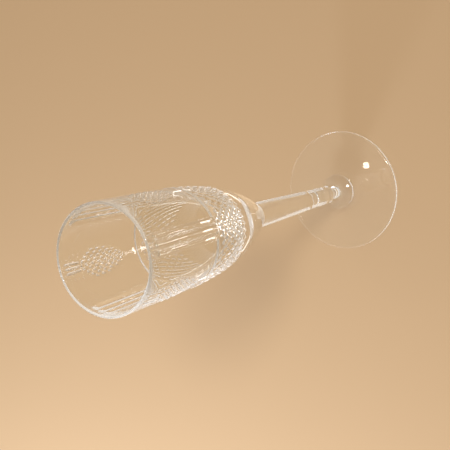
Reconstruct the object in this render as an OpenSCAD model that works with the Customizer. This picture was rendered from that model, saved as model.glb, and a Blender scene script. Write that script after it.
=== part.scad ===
// Pressed-glass champagne flute, standing upright on the middle of its foot.
// Four gathers of clear glass are fused end to end: foot, neck, cut stem, bowl.
// Z runs up the axis, and z = 0 is the ring that the foot rests on.

/* [Bowl] */
// Outer diameter at the rim
rim_d = 48.8; // [40:0.1:70]
// Height of the bowl, from the top of the stem to the rim
bowl_h = 120; // [90:1:150]
// Wall thickness at the rim
rim_wall = 1.3; // [1.2:0.1:2.2]
// How much the wall thickens for each millimetre below the rim
wall_growth = 0.01; // [0:0.002:0.02]
// Thickness of solid glass under the inside of the bowl
bowl_floor = 20; // [12:1:28]
// How much the outer radius shrinks for each millimetre below the rim
wall_taper = 0.02; // [0:0.005:0.04]
// Radius of the rounded lip
lip_r = 0.6; // [0.3:0.1:0.6]

/* [Bowl decoration] */
// Number of panels of reeds round the bowl
reed_panels = 3; // [2:1:6]
// Reeds side by side in one panel
reeds_per_panel = 3; // [1:1:5]
// Width of one reed where it leaves the wall
reed_w = 3.6; // [2:0.1:5]
// Height of a reed above the wall
reed_h = 0.55; // [0.3:0.05:0.9]
// Plain band between the rim and the reeds
rim_band = 5; // [2:0.5:15]
// Distance from the rim down to the raised ring
ring_drop = 53; // [40:1:70]
// Radius of the section of the raised ring
ring_bead_r = 0.6; // [0.5:0.1:1.4]
// How far the raised ring stands out from the wall
ring_proud = 0.3; // [0.2:0.1:0.8]

/* [Stem] */
// Height of the cut stem
stem_h = 80; // [50:1:120]
// Diameter of the stem where the bowl sits on it
stem_top_d = 13; // [9:0.5:18]
// Diameter of the swelling just under the bowl
stem_swell_d = 13.8; // [10:0.1:20]
// Drop from the bowl to the widest place of the swelling
swell_drop = 7; // [4:0.5:12]
// Diameter of the uncut stem at the ring groove
stem_low_d = 10.6; // [8:0.1:14]
// Diameter of the stem where it meets the neck
stem_end_d = 7; // [5:0.5:9]
// Number of flats cut along the stem
flats = 8; // [6:1:12]
// Depth of the flats, measured from the uncut stem
flat_cut = 0.42; // [0.1:0.02:0.9]
// Height of the ring groove above the bottom of the stem
groove_rise = 20; // [12:1:30]
// Depth of the ring groove
groove_depth = 0.9; // [0.2:0.05:1.2]
// Height of the rounding at the bottom end of the stem
stem_end_h = 3; // [1:0.5:6]

/* [Neck] */
// Height of the neck
neck_h = 12.8; // [8:0.2:20]
// Diameter of the neck at its thinnest
neck_d = 5.8; // [4:0.2:8]
// Height of the flare at the bottom of the neck
flare_h = 7.6; // [4:0.2:8]
// Diameter of the flare where it meets the foot
flare_d = 19; // [14:0.5:26]

/* [Foot] */
// Diameter of the foot
foot_d = 65.8; // [50:0.2:90]
// Height of the foot at its middle, where the neck sits
foot_h = 7.2; // [5:0.2:12]
// Height of the foot at its edge
foot_edge_h = 3; // [2:0.2:4]
// Sweep of the top of the foot: 1 is a straight cone, and more lies flatter towards the edge
foot_sweep = 1.6; // [1:0.1:2.4]
// Radius of the rounding of the edge
foot_edge_r = 1.4; // [0.8:0.1:1.5]
// Width of the flat ring that the foot rests on
rest_ring_w = 3; // [2:0.5:6]
// Height of the hollow under the foot, at its middle
foot_hollow_h = 1.6; // [0.6:0.1:3]

/* [Hidden] */
$fn = 96;
curve_steps = 24;          // straight lengths that stand for each curved outline
small = 0.01;              // clears coincident faces inside one node
glass = [0.86, 0.90, 0.90, 0.45];

rim_r = rim_d / 2;
stem_top_r = stem_top_d / 2;
neck_base_z = foot_h;
stem_base_z = neck_base_z + neck_h;
bowl_base_z = stem_base_z + stem_h;
rim_z = bowl_base_z + bowl_h;
ring_z = rim_z - ring_drop;
cavity_depth = bowl_h - bowl_floor;

// The outer wall tapers straight, and a fourth power rounds it in to the stem.
// apex_drop is where that curve would close, set so that it ends at the stem's radius.
bottom_power = 4;
bowl_end_share = stem_top_r / (rim_r - wall_taper * bowl_h);
apex_drop = bowl_h / pow(1 - bowl_end_share, 1 / bottom_power);

// Outer and inner radius of the bowl at a distance below the rim
function outer_r(drop) = (rim_r - wall_taper * drop) * (1 - pow(drop / apex_drop, bottom_power));
function inner_r(drop) =
    (rim_r - rim_wall - (wall_taper + wall_growth) * drop) * sqrt(max(0, 1 - pow(drop / cavity_depth, bottom_power)));

bowl_outline = [for (i = [0:curve_steps]) let (drop = bowl_h * (1 - i / curve_steps)) [outer_r(drop), rim_z - drop]];
cavity_outline = [for (i = [0:curve_steps]) let (drop = cavity_depth * cos(90 * i / curve_steps))
    [inner_r(drop), rim_z - drop]];

// A reed is a rod let into the wall, so that an arc reed_w wide stands reed_h proud.
reed_arc_r = (reed_w * reed_w / 4 + reed_h * reed_h) / (2 * reed_h);
reed_pitch = 2 * asin(reed_w / 2 / rim_r);
reed_top_drop = rim_band;
reed_low_drop = ring_drop - ring_bead_r;
reed_top_x = outer_r(reed_top_drop) + reed_h - reed_arc_r;
reed_low_x = outer_r(reed_low_drop) + reed_h - reed_arc_r;
reed_rise = reed_low_drop - reed_top_drop;
reed_lean = atan((reed_top_x - reed_low_x) / reed_rise);
reed_len = reed_rise / cos(reed_lean);

groove_z = stem_base_z + groove_rise;
swell_z = bowl_base_z - swell_drop;
swell_r = stem_swell_d / 2;
stem_low_r = stem_low_d / 2;
stem_end_r = stem_end_d / 2;
neck_r = neck_d / 2;
flare_r = flare_d / 2;
foot_r = foot_d / 2;
flat_low_x = stem_low_r - flat_cut;
flat_top_x = swell_r - flat_cut;
flat_rise = bowl_base_z - groove_z;
flat_slope = (flat_top_x - flat_low_x) / (swell_z - groove_z);
flat_slab = 6;             // thickness of the block that cuts one flat
rest_r = foot_r - foot_edge_r;
hollow_r = rest_r - rest_ring_w;
hollow_sphere_r = (hollow_r * hollow_r + foot_hollow_h * foot_hollow_h) / (2 * foot_hollow_h);

module cavity() {
    rotate_extrude()
        polygon(concat(cavity_outline, [[rim_r - rim_wall, rim_z + 1], [0, rim_z + 1]]));
}

module bowl_solid() {
    rotate_extrude()
        polygon(concat([[0, bowl_base_z]], bowl_outline, [[0, rim_z]]));
}

// Rounds the rim: a ring of waste with a quarter circle left in its corner.
module lip_waste() {
    rotate_extrude()
        translate([rim_r, rim_z])
            difference() {
                translate([-lip_r, -lip_r]) square([2 * lip_r, 2 * lip_r]);
                translate([-lip_r, -lip_r]) circle(r = lip_r, $fn = 32);
            }
}

module reed() {
    translate([reed_low_x, 0, rim_z - reed_low_drop])
        rotate([0, reed_lean, 0])
            cylinder(r = reed_arc_r, h = reed_len);
}

module reeds() {
    for (panel = [0:reed_panels - 1])
        for (i = [0:reeds_per_panel - 1])
            rotate([0, 0, panel * 360 / reed_panels + (i - (reeds_per_panel - 1) / 2) * reed_pitch])
                reed();
}

module ring_bead() {
    rotate_extrude()
        translate([outer_r(ring_drop) + ring_proud - ring_bead_r, ring_z])
            circle(r = ring_bead_r, $fn = 32);
}

module bowl() {
    color(glass)
        difference() {
            union() {
                bowl_solid();
                reeds();
                ring_bead();
            }
            cavity();
            lip_waste();
        }
}

// The uncut stem: a long cone that swells under the bowl and rounds off at the neck.
module stem_blank() {
    steps = 8;
    top = [for (i = [0:steps]) let (t = i / steps)
        [swell_r - (swell_r - stem_top_r) * t * t, swell_z + swell_drop * t]];
    low = [for (i = [0:steps]) let (t = i / steps)
        [stem_end_r + (stem_low_r - stem_end_r) * sin(90 * t), stem_base_z + stem_end_h * t]];
    rotate_extrude()
        polygon(concat([[0, stem_base_z]], low, top, [[0, bowl_base_z]]));
}

module stem_groove() {
    rotate_extrude()
        translate([stem_low_r + groove_depth, groove_z])
            rotate(45) square(2 * groove_depth * sqrt(2), center = true);
}

// Blocks whose inner faces are the flats. The upper set leans out towards the bowl.
module stem_flats() {
    upper_len = flat_rise + swell_drop;
    for (i = [0:flats - 1])
        rotate([0, 0, i * 360 / flats]) {
            translate([flat_low_x, 0, groove_z])
                rotate([0, atan(flat_slope), 0])
                    translate([0, -flat_slab, 0]) cube([flat_slab, 2 * flat_slab, upper_len]);
            translate([flat_low_x, -flat_slab, stem_base_z - small])
                cube([flat_slab, 2 * flat_slab, groove_rise + small]);
        }
}

module stem() {
    color(glass)
        difference() {
            stem_blank();
            stem_flats();
            stem_groove();
        }
}

// A waist that flares out to the foot in a long trumpet curve
module neck() {
    steps = 12;
    waist_z = neck_base_z + flare_h;
    flare = [for (i = [0:steps]) let (t = 1 - i / steps)
        [neck_r + (flare_r - neck_r) * pow(t, 3), waist_z - flare_h * t]];
    upper = [for (i = [1:steps]) let (t = i / steps)
        [neck_r + (stem_end_r - neck_r) * t * t, waist_z + (neck_h - flare_h) * t]];
    color(glass)
        rotate_extrude()
            polygon(concat([[0, neck_base_z]], flare, upper, [[0, stem_base_z]]));
}

// A swept top with a rounded edge, hollowed underneath so that the foot rests on a ring
module foot() {
    steps = 12;
    edge_z = foot_edge_h - foot_edge_r;
    top = [for (i = [0:steps]) let (t = i / steps)
        [rest_r + (flare_r - rest_r) * t, foot_edge_h + (foot_h - foot_edge_h) * pow(t, foot_sweep)]];
    color(glass)
        difference() {
            rotate_extrude() {
                polygon(concat([[0, 0], [rest_r, 0]], top, [[0, foot_h]]));
                translate([rest_r, foot_edge_r]) circle(r = foot_edge_r, $fn = 32);
                translate([rest_r, edge_z]) circle(r = foot_edge_r, $fn = 32);
                translate([rest_r - small, foot_edge_r]) square([foot_edge_r + small, edge_z - foot_edge_r + small]);
            }
            translate([0, 0, foot_hollow_h - hollow_sphere_r]) sphere(r = hollow_sphere_r, $fn = 200);
        }
}

bowl();
stem();
neck();
foot();
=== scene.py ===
"""Pressed-glass champagne flute: four fused gathers of clear glass, a plain floor, soft lights and
the camera.

Lengths inside the shape functions are millimetres. They become metres where a mesh is made.
"""

import math

import bpy
import numpy as np
from mathutils import Matrix, Vector


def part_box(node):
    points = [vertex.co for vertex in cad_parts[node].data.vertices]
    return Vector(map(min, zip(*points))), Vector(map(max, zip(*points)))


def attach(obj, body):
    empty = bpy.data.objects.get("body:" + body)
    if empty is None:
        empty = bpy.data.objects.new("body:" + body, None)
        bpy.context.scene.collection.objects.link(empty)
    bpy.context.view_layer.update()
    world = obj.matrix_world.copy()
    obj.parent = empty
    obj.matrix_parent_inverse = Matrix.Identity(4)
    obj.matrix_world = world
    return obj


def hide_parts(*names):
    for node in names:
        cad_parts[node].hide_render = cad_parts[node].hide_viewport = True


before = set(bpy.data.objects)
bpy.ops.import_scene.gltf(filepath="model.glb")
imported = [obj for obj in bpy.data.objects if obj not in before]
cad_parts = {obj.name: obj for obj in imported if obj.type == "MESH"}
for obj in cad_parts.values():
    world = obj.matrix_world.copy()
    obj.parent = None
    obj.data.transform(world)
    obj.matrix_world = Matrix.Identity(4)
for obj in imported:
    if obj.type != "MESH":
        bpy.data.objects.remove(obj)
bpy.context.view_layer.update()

MM = 0.001

# The frame gives the heights where one piece ends and the next begins, and the size of the foot.
bowl_low, bowl_high = (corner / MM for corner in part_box("bowl"))
stem_low, _ = (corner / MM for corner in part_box("stem"))
neck_low, _ = (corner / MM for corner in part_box("neck"))
_, foot_high = (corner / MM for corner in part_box("foot"))
RIM_Z = bowl_high.z
BOWL_BASE_Z = bowl_low.z
STEM_BASE_Z = stem_low.z
NECK_BASE_Z = neck_low.z
FOOT_R = foot_high.x

# Bowl
BOWL_H = RIM_Z - BOWL_BASE_Z
RIM_R = 24.4                # outer radius at the rim
RIM_WALL = 1.3              # thickness of the wall at the rim
LIP_H = 0.62                # height of the fire-rounded lip
WALL_TAPER = 0.02           # how much the radius shrinks for each millimetre down
WALL_GROWTH = 0.01          # how much the wall thickens for each millimetre down
CAVITY_DEPTH = 100.0        # from the rim to the bottom of the inside
STEM_TOP_R = 6.5            # where the bowl sits on the stem
BOTTOM_POWER = 4            # rounds the outside in to the stem, and the inside to its lowest point
APEX_DROP = BOWL_H / (1 - STEM_TOP_R / (RIM_R - WALL_TAPER * BOWL_H)) ** (1 / BOTTOM_POWER)
FUSED_R, FUSED_FADE = 0.35, 1.2     # the rounding where bowl and stem are fused, and how it fades

# Decoration of the bowl. A drop is a distance below the rim, and proud is a height off the wall.
PANELS = 3                  # panels of reeds, with a leaf between each two
REED_W, REED_H = 3.6, 0.55
REED_TOP, REED_END = 3.5, 52.6
REED_RISE = 4.0             # how far a reed takes to rise to its full height
REED_ARC_R = (REED_W ** 2 / 4 + REED_H ** 2) / (2 * REED_H)
REED_PITCH = 2 * math.asin(REED_W / 2 / RIM_R)
RING_DROP, RING_BEAD_R, RING_PROUD = 53.0, 0.6, 0.3

STUDS_ROUND = 39            # studs in one row
STUD_ROWS = 8
STUD_HALF_H = 2.97          # half the height of a stud, and the distance from row to row
STUD_TOP = 58.3             # drop of the middle of the first row
STUD_END = STUD_TOP + STUD_HALF_H * STUD_ROWS
STUD_PROUD = 0.34
STUD_FULLNESS = 0.8         # below 1 makes a stud blunter
BAND_PROUD = 0.12           # the whole band of studs stands this far out of the plain wall

LEAF_TOP, LEAF_TIP = 14.0, 44.0
LEAF_HALF = 7.4             # half the greatest width of a leaf
LEAF_SKEW = 0.7             # below 1 puts the widest place nearer the top
LEAF_FULLNESS = 0.6         # below 1 makes the outline fuller
LEAF_EDGE = 1.8             # width over which the beads fade out at the outline
LEAF_CLOSING = 0.3          # share by which the rows have closed in at the tip
LEAF_PROUD = 0.5
BARB_PITCH, BEAD_PITCH = 1.6, 4.2   # across a leaf, and along it
NOTCH_DROP = 14.2           # a narrow gap between the leaf and its fan of veins
FAN_TOP, FAN_FULL = 2.5, 6.0        # drops where the veins start, and where they are at full height
VEIN_PITCH, VEIN_SPREAD, VEIN_PROUD = 1.7, 0.04, 0.5
PEARL_DROP, PEARL_PITCH, PEARL_SIDE = 8.2, 2.6, 5.0
PEARL_R, PEARL_PROUD = 0.9, 0.22

# Stem
FLATS = 8
GROOVE_Z, GROOVE_DEPTH = STEM_BASE_Z + 20, 0.9
GROOVE_REACH = 3            # the groove is cut no further than this from its middle
SWELL_Z, SWELL_R = BOWL_BASE_Z - 7, 6.9
STEM_LOW_R, STEM_END_R, STEM_END_H = 5.3, 3.5, 3.0
FLAT_CUT = 0.42
ARRIS_POWER = 40            # rounds the arris between two flats, less for a higher power
OUTLINE_POWER = 24.0        # rounds the meeting of flats and turned outline in the same way

# Neck and foot
WAIST_Z, WAIST_R = NECK_BASE_Z + 7.6, 2.9
FLARE_R = 9.5
EDGE_R, EDGE_H = 1.4, 3.0
FOOT_SWEEP = 1.6            # 1 is a straight cone, and more lies flatter towards the edge
REST_RING_W, HOLLOW_H = 3.0, 1.6

# Directions in which each skin has a column of points
BOWL_COLUMNS = STUDS_ROUND * 14
STEM_COLUMNS = FLATS * 24
NECK_COLUMNS = 96
FOOT_COLUMNS = 240


# ---- shapes ----

def rising(value, start, end):
    """Nought before start, one after end, and a smooth S between: three squares less two cubes of
    the share."""
    share = np.clip((value - start) / (end - start), 0, 1)
    return share * share * (3 - 2 * share)


def falling(value, start, end):
    """One before start, nought after end, and the same smooth S between."""
    return rising(-value, -end, -start)


def from_nearest(angle, count, offset=0.0):
    """Angle in radians from the nearest of count equal directions, the first at offset."""
    step = 2 * math.pi / count
    return (angle - offset + step / 2) % step - step / 2


def blunt_points(first, second):
    """A point stands where both counts are whole numbers. Its height is the product of two half
    waves of cosine, one for each count's distance from its nearest whole number."""
    first_wave = np.cos(math.pi * (first - np.round(first)))
    second_wave = np.cos(math.pi * (second - np.round(second)))
    return np.clip(first_wave * second_wave, 0, None)


def outer_wall(drop):
    """Outer radius: a straight taper, times one less the fourth power of the drop over the apex
    drop."""
    return (RIM_R - WALL_TAPER * drop) * (1 - (drop / APEX_DROP) ** BOTTOM_POWER)


def inner_wall(drop):
    """Inner radius: a straight taper, times the root of one less the fourth power of the drop over
    the depth."""
    taper = RIM_R - RIM_WALL - (WALL_TAPER + WALL_GROWTH) * drop
    return taper * np.sqrt(np.clip(1 - (drop / CAVITY_DEPTH) ** BOTTOM_POWER, 0, 1))


def fused_round(away):
    """The fused joint of bowl and stem is rounded: a little extra radius, which falls away by a
    power of e."""
    return FUSED_R * np.exp(-away / FUSED_FADE)


def reeds(drop, angle):
    """Three rods side by side in each panel: each is an arc of a circle that stands REED_H proud of
    the wall. It rises from its top end, and stops in the ring."""
    turn = from_nearest(angle, PANELS)
    rod = np.clip(np.round(turn / REED_PITCH), -1, 1)
    across = (turn - rod * REED_PITCH) * outer_wall(drop)
    arc = np.sqrt(np.clip(REED_ARC_R ** 2 - across ** 2, 0, None)) - (REED_ARC_R - REED_H)
    ends = rising(drop, REED_TOP, REED_TOP + REED_RISE) * falling(drop, REED_END, REED_END + 1)
    return np.clip(arc, 0, None) * ends


def ring(drop):
    """A round bead let into the wall, so that RING_PROUD of it shows."""
    away = np.clip(RING_BEAD_R ** 2 - (drop - RING_DROP) ** 2, 0, None)
    return np.clip(np.sqrt(away) - (RING_BEAD_R - RING_PROUD), 0, None)


def studs(drop, angle):
    """Rows of blunt four-sided points, each row half a stud on from the last, on a band that stands
    a little proud. The two counts run slantwise through the band, one each way."""
    round_count = angle * STUDS_ROUND / (2 * math.pi)
    down_count = (drop - STUD_TOP) / (2 * STUD_HALF_H)
    first, second = round_count + down_count, round_count - down_count
    row = np.round(first) - np.round(second)
    inside = (row > -0.5) & (row < STUD_ROWS - 0.5)
    band = BAND_PROUD * rising(drop, RING_DROP, RING_DROP + 1.6)
    band = band * falling(drop, STUD_END, STUD_END + 1.2)
    return band + STUD_PROUD * blunt_points(first, second) ** STUD_FULLNESS * inside


def leaf_beads(drop, side):
    """Staggered rows of long beads that close in towards the tip. The outline is a half wave of
    sine along the leaf, and both the length along it and the wave are raised to a power."""
    along = np.clip((drop - LEAF_TOP) / (LEAF_TIP - LEAF_TOP), 0, 1)
    half = LEAF_HALF * np.sin(math.pi * along ** LEAF_SKEW) ** LEAF_FULLNESS
    inside = rising(half - side, 0.0, LEAF_EDGE)
    barb = side / (BARB_PITCH * (1 - LEAF_CLOSING * along))
    bead = (drop - LEAF_TOP) / BEAD_PITCH + 0.5 * (np.round(barb) % 2)
    return LEAF_PROUD * inside * blunt_points(barb, bead)


def leaf_fan(drop, across):
    """Fine veins above the notch, as waves of cosine across. They spread a little towards the rim
    and fade out to each side."""
    vein = across / (VEIN_PITCH + VEIN_SPREAD * np.clip(LEAF_TOP - drop, 0, None))
    veins = VEIN_PROUD * np.clip(np.cos(2 * math.pi * vein), 0, None)
    veins = veins * falling(np.abs(vein), 0.9, 2.4)
    veins = veins * rising(drop, FAN_TOP, FAN_FULL)
    return veins * falling(drop, NOTCH_DROP - 0.9, NOTCH_DROP - 0.3)


def leaf_pearls(drop, side):
    """Three small round pearls on each side of the fan, each a smooth fall from its middle."""
    row = np.clip(np.round((drop - PEARL_DROP) / PEARL_PITCH), 0, 2)
    away = np.hypot(side - PEARL_SIDE, drop - PEARL_DROP - PEARL_PITCH * row)
    return PEARL_PROUD * falling(away, 0.1, PEARL_R)


def leaf(drop, angle):
    """The tallest of a leaf's beads, fan and pearls. A leaf is halfway between each two panels."""
    across = from_nearest(angle, PANELS, math.pi / PANELS) * outer_wall(drop)
    side = np.abs(across)
    return np.maximum.reduce([leaf_beads(drop, side), leaf_fan(drop, across),
                              leaf_pearls(drop, side)])


def bowl_outside(drop, angle):
    """The outer wall and its rounded joint, and on them the tallest of the reeds, the ring, the
    studs and the leaves at each point."""
    relief = np.maximum.reduce([reeds(drop, angle), ring(drop) + 0 * angle, studs(drop, angle),
                                leaf(drop, angle)])
    return outer_wall(drop) + fused_round(BOWL_H - drop) + relief


def stem_radius(height, angle):
    """The nearer of the turned outline and the flats, with rounded arrises. A flat is at its
    apothem over the cosine of the turn. One over the flats' radius is the 40th root of the sum of
    the 40th powers of one over the distances of the nearest two, and the outline joins them in the
    same way with 24th powers."""
    end_share = np.clip((height - STEM_BASE_Z) / STEM_END_H, 0, 1)
    low = STEM_END_R + (STEM_LOW_R - STEM_END_R) * np.sin(math.pi / 2 * end_share)
    swell_share = np.clip((height - SWELL_Z) / (BOWL_BASE_Z - SWELL_Z), 0, 1)
    cone_share = np.clip((height - STEM_BASE_Z - STEM_END_H) / (SWELL_Z - STEM_BASE_Z - STEM_END_H),
                         0, 1)
    outline = low + (SWELL_R - STEM_LOW_R) * cone_share - (SWELL_R - STEM_TOP_R) * swell_share ** 2
    groove = STEM_LOW_R - GROOVE_DEPTH + np.abs(height - GROOVE_Z)
    in_groove = np.abs(height - GROOVE_Z) < GROOVE_REACH
    outline = np.where(in_groove, np.minimum(outline, groove), outline)

    slope = (SWELL_R - STEM_LOW_R) / (SWELL_Z - GROOVE_Z)
    apothem = STEM_LOW_R - FLAT_CUT + slope * np.clip(height - GROOVE_Z, 0, None)
    near = np.abs(from_nearest(angle, FLATS))
    beyond = 2 * math.pi / FLATS - near
    flat = ((np.cos(near) / apothem) ** ARRIS_POWER
            + (np.cos(beyond) / apothem) ** ARRIS_POWER) ** (-1 / ARRIS_POWER)
    joined = (outline ** -OUTLINE_POWER + flat ** -OUTLINE_POWER) ** (-1 / OUTLINE_POWER)
    return joined + fused_round(BOWL_BASE_Z - height)


# ---- meshes ----

def run(start, *stretches):
    """Places from start on, as one column. Each stretch is where it ends and its number of equal
    steps."""
    places = []
    for end, steps in stretches:
        places.append(np.linspace(start, end, steps + 1)[:-1])
        start = end
    return np.append(np.concatenate(places), start)[:, None]


def directions(columns):
    """The angle of each column, as one row."""
    return (np.arange(columns) * 2 * math.pi / columns)[None, :]


def skin(name, radius, height, middle, materials, low_end, high_end):
    """A closed skin round the axis. radius, height and middle are whole arrays: a row for each ring
    and a column for each direction, with middle the true radius in the middle of each four corners.
    Four corners are split along the diagonal that passes nearer to it. An end is "joint" for the
    flat disc where two gathers are fused, or a height for a smooth pole on the axis."""
    rings, columns = radius.shape
    turn = directions(columns)[0]
    points = np.stack([radius * np.cos(turn), radius * np.sin(turn), height], axis=2).reshape(-1, 3)
    low_z = height[0, 0] if low_end == "joint" else low_end
    high_z = height[-1, 0] if high_end == "joint" else high_end
    points = np.concatenate([points, [[0, 0, low_z], [0, 0, high_z]]]) * MM

    number = np.arange(rings * columns).reshape(rings, columns)
    beside = np.roll(number, -1, axis=1)
    a, b, c, d = number[:-1], beside[:-1], beside[1:], number[1:]
    next_radius = np.roll(radius, -1, axis=1)
    off_ac = np.abs((radius[:-1] + next_radius[1:]) / 2 - middle)
    off_bd = np.abs((next_radius[:-1] + radius[1:]) / 2 - middle)
    by_ac = (off_ac <= off_bd)[..., None]
    one = np.where(by_ac, np.stack([a, b, c], 2), np.stack([a, b, d], 2)).reshape(-1, 3)
    two = np.where(by_ac, np.stack([a, c, d], 2), np.stack([b, c, d], 2)).reshape(-1, 3)
    pole = np.full(columns, rings * columns)
    under = np.stack([pole, beside[0], number[0]], 1)
    over = np.stack([number[-1], beside[-1], pole + 1], 1)
    faces = np.concatenate([one, two, under, over])
    is_disc = np.zeros(len(faces), bool)
    is_disc[len(one) * 2:len(one) * 2 + columns] = low_end == "joint"
    is_disc[len(one) * 2 + columns:] = high_end == "joint"

    mesh = bpy.data.meshes.new(name)
    mesh.vertices.add(len(points))
    mesh.vertices.foreach_set("co", points.astype(np.float32).ravel())
    mesh.loops.add(faces.size)
    mesh.loops.foreach_set("vertex_index", faces.astype(np.int32).ravel())
    mesh.polygons.add(len(faces))
    mesh.polygons.foreach_set("loop_start", np.arange(0, faces.size, 3, dtype=np.int32))
    mesh.update(calc_edges=True)
    for material in materials:
        mesh.materials.append(material)
    mesh.polygons.foreach_set("use_smooth", ~is_disc)
    mesh.polygons.foreach_set("material_index", is_disc.astype(np.int32))
    mesh.validate()
    piece = bpy.data.objects.new(name, mesh)
    bpy.context.scene.collection.objects.link(piece)
    return piece


def turned(name, profile, columns, materials, low_end, high_end):
    """A plain turned skin: the same outline, of radius and height pairs, in every direction."""
    radius = np.repeat(profile[:, :1], columns, axis=1)
    height = np.repeat(profile[:, 1:], columns, axis=1)
    middle = (radius[:-1] + radius[1:]) / 2
    return skin(name, radius, height, middle, materials, low_end, high_end)


def make_bowl(materials):
    """From the joint up the decorated outside, over the half-round lip, and down the smooth inside
    to its pole. The rings are closer together where the relief is finer."""
    drops = run(BOWL_H, (BOWL_H - 3, 6), (STUD_END, 11),
                (STUD_TOP - STUD_HALF_H, 5 * (STUD_ROWS + 1)),
                (RING_DROP + RING_BEAD_R, 3), (RING_DROP - RING_BEAD_R, 8),
                (LEAF_TIP, 5), (LEAF_TOP + 1, 41), (6.8, 14), (LIP_H, 8))
    turn = directions(BOWL_COLUMNS)
    outside = bowl_outside(drops, turn)
    outside_middle = bowl_outside((drops[:-1] + drops[1:]) / 2, turn + math.pi / BOWL_COLUMNS)

    lip_turn = np.linspace(0, math.pi, 9)[1:-1, None]
    wall_middle = (outer_wall(LIP_H) + inner_wall(LIP_H)) / 2
    wall_half = (outer_wall(LIP_H) - inner_wall(LIP_H)) / 2
    lip = wall_middle + wall_half * np.cos(lip_turn)
    down_turn = np.linspace(math.asin(LIP_H / CAVITY_DEPTH), math.pi / 2, 18)[:-1, None]
    inside_drops = CAVITY_DEPTH * np.sin(down_turn)

    radius = np.concatenate([outside, np.concatenate([lip, inner_wall(inside_drops)]) + 0 * turn])
    below_rim = np.concatenate([drops, LIP_H * (1 - np.sin(lip_turn)), inside_drops])
    height = RIM_Z - below_rim + 0 * turn
    plain_middle = (radius[len(drops) - 1:-1] + radius[len(drops):]) / 2
    middle = np.concatenate([outside_middle, plain_middle])
    return skin("bowl_glass", radius, height, middle, materials, "joint", RIM_Z - CAVITY_DEPTH)


def make_stem(materials):
    """Eight cut flats on a long cone, with a ring groove, and round ends that meet the neck and the
    bowl."""
    heights = run(STEM_BASE_Z, (STEM_BASE_Z + STEM_END_H, 13), (GROOVE_Z - 1.2, 11),
                  (GROOVE_Z + 1.2, 16), (SWELL_Z - 3, 19), (BOWL_BASE_Z, 25))
    turn = directions(STEM_COLUMNS)
    radius = stem_radius(heights, turn)
    middle = stem_radius((heights[:-1] + heights[1:]) / 2, turn + math.pi / STEM_COLUMNS)
    return skin("stem_glass", radius, heights + 0 * turn, middle, materials, "joint", "joint")


def make_neck(materials):
    """A waist: above it the radius grows with the square of the height, and below it with the cube,
    down to the foot."""
    down = np.linspace(1, 0, 24)[:, None]
    up = np.linspace(0, 1, 14)[1:, None]
    flare = np.hstack([WAIST_R + (FLARE_R - WAIST_R) * down ** 3,
                       WAIST_Z + (NECK_BASE_Z - WAIST_Z) * down])
    waist = np.hstack([WAIST_R + (STEM_END_R - WAIST_R) * up ** 2,
                       WAIST_Z + (STEM_BASE_Z - WAIST_Z) * up])
    profile = np.concatenate([flare, waist])
    return turned("neck_glass", profile, NECK_COLUMNS, materials, "joint", "joint")


def make_foot(materials):
    """From the middle of the hollow underneath, which is part of a large ball, out to the resting
    ring, round the edge, and up the swept top. The top rises with the share of the way in to the
    flare, raised to FOOT_SWEEP."""
    rest_r = FOOT_R - EDGE_R
    hollow_r = rest_r - REST_RING_W
    ball_r = (hollow_r ** 2 + HOLLOW_H ** 2) / (2 * HOLLOW_H)
    under_r = np.linspace(1.5, hollow_r, 22)[:, None]
    under = np.hstack([under_r, HOLLOW_H - ball_r + np.sqrt(ball_r ** 2 - under_r ** 2)])
    resting_r = np.linspace(hollow_r + 0.4, rest_r, 4)[:, None]
    resting = np.hstack([resting_r, 0 * resting_r])
    edge = np.linspace(-math.pi / 2, math.pi / 2, 17)[1:, None]
    edge_z = np.where(edge < 0, EDGE_R, EDGE_H - EDGE_R)
    rounding = np.hstack([rest_r + EDGE_R * np.cos(edge), edge_z + EDGE_R * np.sin(edge)])
    inward = np.linspace(0, 1, 34)[1:, None]
    top = np.hstack([rest_r + (FLARE_R - rest_r) * inward,
                     EDGE_H + (NECK_BASE_Z - EDGE_H) * inward ** FOOT_SWEEP])
    profile = np.concatenate([under, resting, rounding, top])
    return turned("foot_glass", profile, FOOT_COLUMNS, materials, HOLLOW_H, "joint")


# ---- finishes ----

GATHER = "#EDEBE3"          # the pale tone of a room, which deep edges of clear glass gather
MOST_STEPS = 9.5            # a ray with more steps than this is spent


def colour(code):
    """Linear colour with full cover from a six-figure sRGB code: the lower part is a straight line,
    the rest a power."""
    parts = [int(code[i:i + 2], 16) / 255 for i in (1, 3, 5)]
    return [p / 12.92 if p <= 0.04045 else ((p + 0.055) / 1.055) ** 2.4 for p in parts] + [1.0]


def add_node(tree, kind, inputs=None, **settings):
    """Adds a node, sets its properties, and gives each named input a value or a link."""
    node = tree.nodes.new(kind)
    for key, value in settings.items():
        setattr(node, key, value)
    for key, value in (inputs or {}).items():
        if isinstance(value, bpy.types.NodeSocket):
            tree.links.new(value, node.inputs[key])
        else:
            node.inputs[key].default_value = value
    return node


def new_finish(name):
    """An empty material, and its node tree."""
    material = bpy.data.materials.new(name)
    material.use_nodes = True
    material.node_tree.nodes.clear()
    return material, material.node_tree


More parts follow.
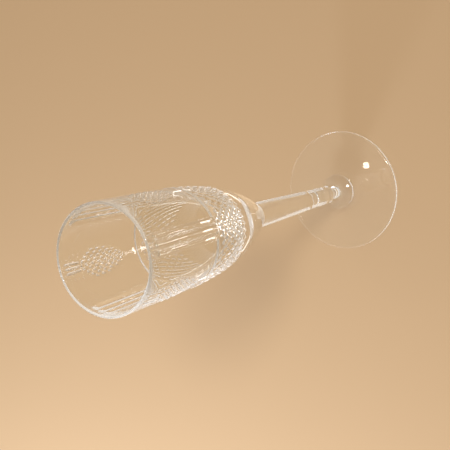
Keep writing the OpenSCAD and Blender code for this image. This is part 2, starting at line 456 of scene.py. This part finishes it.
def glass_finish(name, tint, ripple_mm, ripple_h_mm, shade, most_turns):
    """Clear glass. A ripple, one wave in ripple_mm and ripple_h_mm high, bends what is seen through
    it. Light on its way from the lamps, or from the floor, passes straight through and takes the
    tone of shade, so the shadow is soft and thin. Light that has mirrored inside more than
    most_turns times is spent and spreads out, so that deep edges gather the light of the room. Real
    glass has no such spread."""
    material, tree = new_finish(name)
    place = add_node(tree, "ShaderNodeTexCoord").outputs["Object"]
    ripple = add_node(tree, "ShaderNodeTexNoise", {
        "Vector": place, "Scale": 1 / (ripple_mm * MM), "Detail": 1.0})
    bump = add_node(tree, "ShaderNodeBump", {
        "Height": ripple.outputs["Fac"], "Strength": 1.0, "Distance": ripple_h_mm * MM})
    glass = add_node(tree, "ShaderNodeBsdfPrincipled", {
        "Base Color": colour(tint), "Roughness": 0.0, "IOR": 1.52, "Transmission Weight": 1.0,
        "Normal": bump.outputs["Normal"]}).outputs[0]
    straight = add_node(tree, "ShaderNodeBsdfTransparent", {"Color": colour(shade)}).outputs[0]
    ahead = add_node(tree, "ShaderNodeBsdfTranslucent", {"Color": colour(GATHER)}).outputs[0]
    back = add_node(tree, "ShaderNodeBsdfDiffuse", {"Color": colour(GATHER)}).outputs[0]
    spread = add_node(tree, "ShaderNodeMixShader", {0: 0.5, 1: ahead, 2: back}).outputs[0]

    rays = add_node(tree, "ShaderNodeLightPath").outputs
    mirrored = add_node(tree, "ShaderNodeMath", {0: rays["Glossy Depth"], 1: most_turns + 0.5},
                        operation="GREATER_THAN").outputs[0]
    too_deep = add_node(tree, "ShaderNodeMath", {0: rays["Ray Depth"], 1: MOST_STEPS},
                        operation="GREATER_THAN").outputs[0]
    spent = add_node(tree, "ShaderNodeMath", {0: mirrored, 1: too_deep},
                     operation="MAXIMUM").outputs[0]
    shader = add_node(tree, "ShaderNodeMixShader", {0: spent, 1: glass, 2: spread}).outputs[0]
    for ray, other in [("Is Diffuse Ray", straight), ("Is Shadow Ray", straight),
                       ("Is Camera Ray", glass)]:
        shader = add_node(tree, "ShaderNodeMixShader",
                          {0: rays[ray], 1: shader, 2: other}).outputs[0]
    add_node(tree, "ShaderNodeOutputMaterial", {"Surface": shader})
    return material


def joint_finish():
    """The fused face inside the glass. Both sides are the same glass, so light goes straight
    through."""
    material, tree = new_finish("fused_joint")
    clear = add_node(tree, "ShaderNodeBsdfTransparent")
    add_node(tree, "ShaderNodeOutputMaterial", {"Surface": clear.outputs[0]})
    return material


def floor_finish():
    """Matt warm card: no gloss, so it shows only its colour and soft shadows."""
    material, tree = new_finish("warm_card_floor")
    card = add_node(tree, "ShaderNodeBsdfPrincipled", {
        "Base Color": colour("#A88D6C"), "Roughness": 0.9, "Specular IOR Level": 0.1})
    add_node(tree, "ShaderNodeOutputMaterial", {"Surface": card.outputs[0]})
    return material


# Soda-lime glass, index 1.52: clear and glossy, with bright lines at its edges. The ripples are
# chosen. The pressed bowl wavers once in 7 mm. The cut and polished stem is the truest, with
# a shorter and lower ripple. The fire-polished foot has a long lazy one, and almost no tint.
joint = joint_finish()
bowl_glass = glass_finish("pressed_bowl_glass", "#FBFCFA", 7.0, 0.006, "#D6D0C9", 2)
stem_glass = glass_finish("cut_stem_glass", "#FBFCFA", 4.0, 0.003, "#D6D0C9", 0)
foot_glass = glass_finish("smooth_foot_glass", "#FEFEFD", 11.0, 0.010, "#FFFFFF", 2)

for piece, node, slot in [
    (make_bowl([bowl_glass, joint]), "bowl", "bowl_glass"),
    (make_stem([stem_glass, joint]), "stem", "stem_glass"),
    (make_neck([stem_glass, joint]), "neck", "stem_glass"),
    (make_foot([foot_glass, joint]), "foot", "foot_glass"),
]:
    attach(piece, "root")
    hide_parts(node)


# ---- floor, lights and camera, in metres and watts ----

def lay_floor():
    """One flat sheet just under the resting ring."""
    half, z = 4.0, -0.0002
    mesh = bpy.data.meshes.new("floor")
    corners = [(-half, -half, z), (half, -half, z), (half, half, z), (-half, half, z)]
    mesh.from_pydata(corners, [], [(0, 1, 2, 3)])
    mesh.materials.append(floor_finish())
    floor = bpy.data.objects.new("floor", mesh)
    bpy.context.scene.collection.objects.link(floor)


def hang_lamp(name, place, aim, width, height, power, tone, shape="RECTANGLE"):
    """An area lamp at one point, facing another. The camera doesn't see it."""
    data = bpy.data.lights.new(name, "AREA")
    data.shape = shape
    data.size, data.size_y = width, height
    data.energy = power
    data.color = colour(tone)[:3]
    lamp = bpy.data.objects.new(name, data)
    bpy.context.scene.collection.objects.link(lamp)
    lamp.location = place
    lamp.rotation_mode = "QUATERNION"
    lamp.rotation_quaternion = (Vector(place) - Vector(aim)).to_track_quat("Z", "Y")
    lamp.visible_camera = False
    return lamp


def lay_strip(name, azimuth, away, width, length, power):
    """A small lamp that lies on the floor, points up, and runs out along an azimuth in radians."""
    place = (away * math.cos(azimuth), away * math.sin(azimuth), 0.004)
    strip = hang_lamp(name, place, (0, 0, 1), width, length, power, "#FFFFFF")
    along = Matrix.Rotation(azimuth + math.pi / 2, 3, "Z").to_quaternion()
    face_up = Matrix.Rotation(math.pi, 3, "X").to_quaternion()
    strip.rotation_quaternion = along @ face_up


def set_world(low_tone, high_tone, strength):
    """A pale room: one tone level with the eye, and a slightly darker one overhead."""
    world = bpy.data.worlds.new("studio")
    bpy.context.scene.world = world
    world.use_nodes = True
    tree = world.node_tree
    tree.nodes.clear()
    way = add_node(tree, "ShaderNodeTexCoord").outputs["Generated"]
    rise = add_node(tree, "ShaderNodeSeparateXYZ", {0: way}).outputs["Z"]
    share = add_node(tree, "ShaderNodeMapRange", {"Value": rise, "From Min": 0.0, "From Max": 0.8},
                     interpolation_type="SMOOTHSTEP").outputs[0]
    tone = add_node(tree, "ShaderNodeMix", {0: share, 6: colour(low_tone), 7: colour(high_tone)},
                    data_type="RGBA")
    back = add_node(tree, "ShaderNodeBackground", {"Color": tone.outputs[2], "Strength": strength})
    add_node(tree, "ShaderNodeOutputWorld", {"Surface": back.outputs[0]})


def place_camera():
    """Stands out along an azimuth and an elevation from a point on the axis, then rolls about its
    line of sight."""
    azimuth, elevation, roll = math.radians(0.8), math.radians(56.56), math.radians(-106.35)
    aim, away = Vector((0, -0.00023, 0.1257)), 0.5665
    back = Vector((math.cos(elevation) * math.cos(azimuth),
                   math.cos(elevation) * math.sin(azimuth), math.sin(elevation)))
    level = Vector((0, 0, 1)).cross(back).normalized()
    right = math.cos(roll) * level + math.sin(roll) * back.cross(level)
    up = back.cross(right)
    data = bpy.data.cameras.new("camera")
    data.lens, data.sensor_width = 96, 36
    data.clip_start, data.clip_end = 0.01, 20
    camera = bpy.data.objects.new("camera", data)
    bpy.context.scene.collection.objects.link(camera)
    turn = Matrix((right, up, back)).transposed()
    camera.matrix_world = Matrix.Translation(aim + back * away) @ turn.to_4x4()
    bpy.context.scene.camera = camera


lay_floor()
set_world("#FFFAF2", "#C9BEB0", 0.95)
hang_lamp("key_lamp", (0.94, 0.48, 2.04), (0, 0, 0.1), 0.32, 0.32, 22.0, "#FFF8EE")
hang_lamp("round_lamp", (-0.17, 0.25, 1.46), (0, 0, 0.1), 0.10, 0.10, 0.6, "#FFF3E0", "DISK")
fill = hang_lamp("front_fill", (-0.30, -0.52, 0.27), (-0.15, -0.2, 0), 0.3, 0.2, 7.8, "#DCE6FA")
fill.visible_glossy = False   # a soft bounce that leaves no hard patch on the foot

# The outside of the standing glass mirrors the floor, so lamps lying there draw its bright lines
# and dots. Name, azimuth in degrees, distance from the axis, width, length and power.
for name, degrees, away, width, length, power in [
    ("long_strip", 0, 0.15, 0.005, 0.1, 0.006),             # a thin line down the near reeds
    ("low_spot", 0, 0.152, 0.016, 0.016, 0.012),
    ("stud_spot", 0, 0.084, 0.028, 0.028, 0.036),           # one dot on each near stud
    ("reed_strip_left", 240, 0.125, 0.010, 0.06, 0.006),    # lines in the two far panels
    ("reed_strip_right", 120, 0.125, 0.010, 0.06, 0.006),
]:
    lay_strip(name, math.radians(degrees), away, width, length, power)
place_camera()
bpy.context.scene.view_settings.view_transform = "Standard"
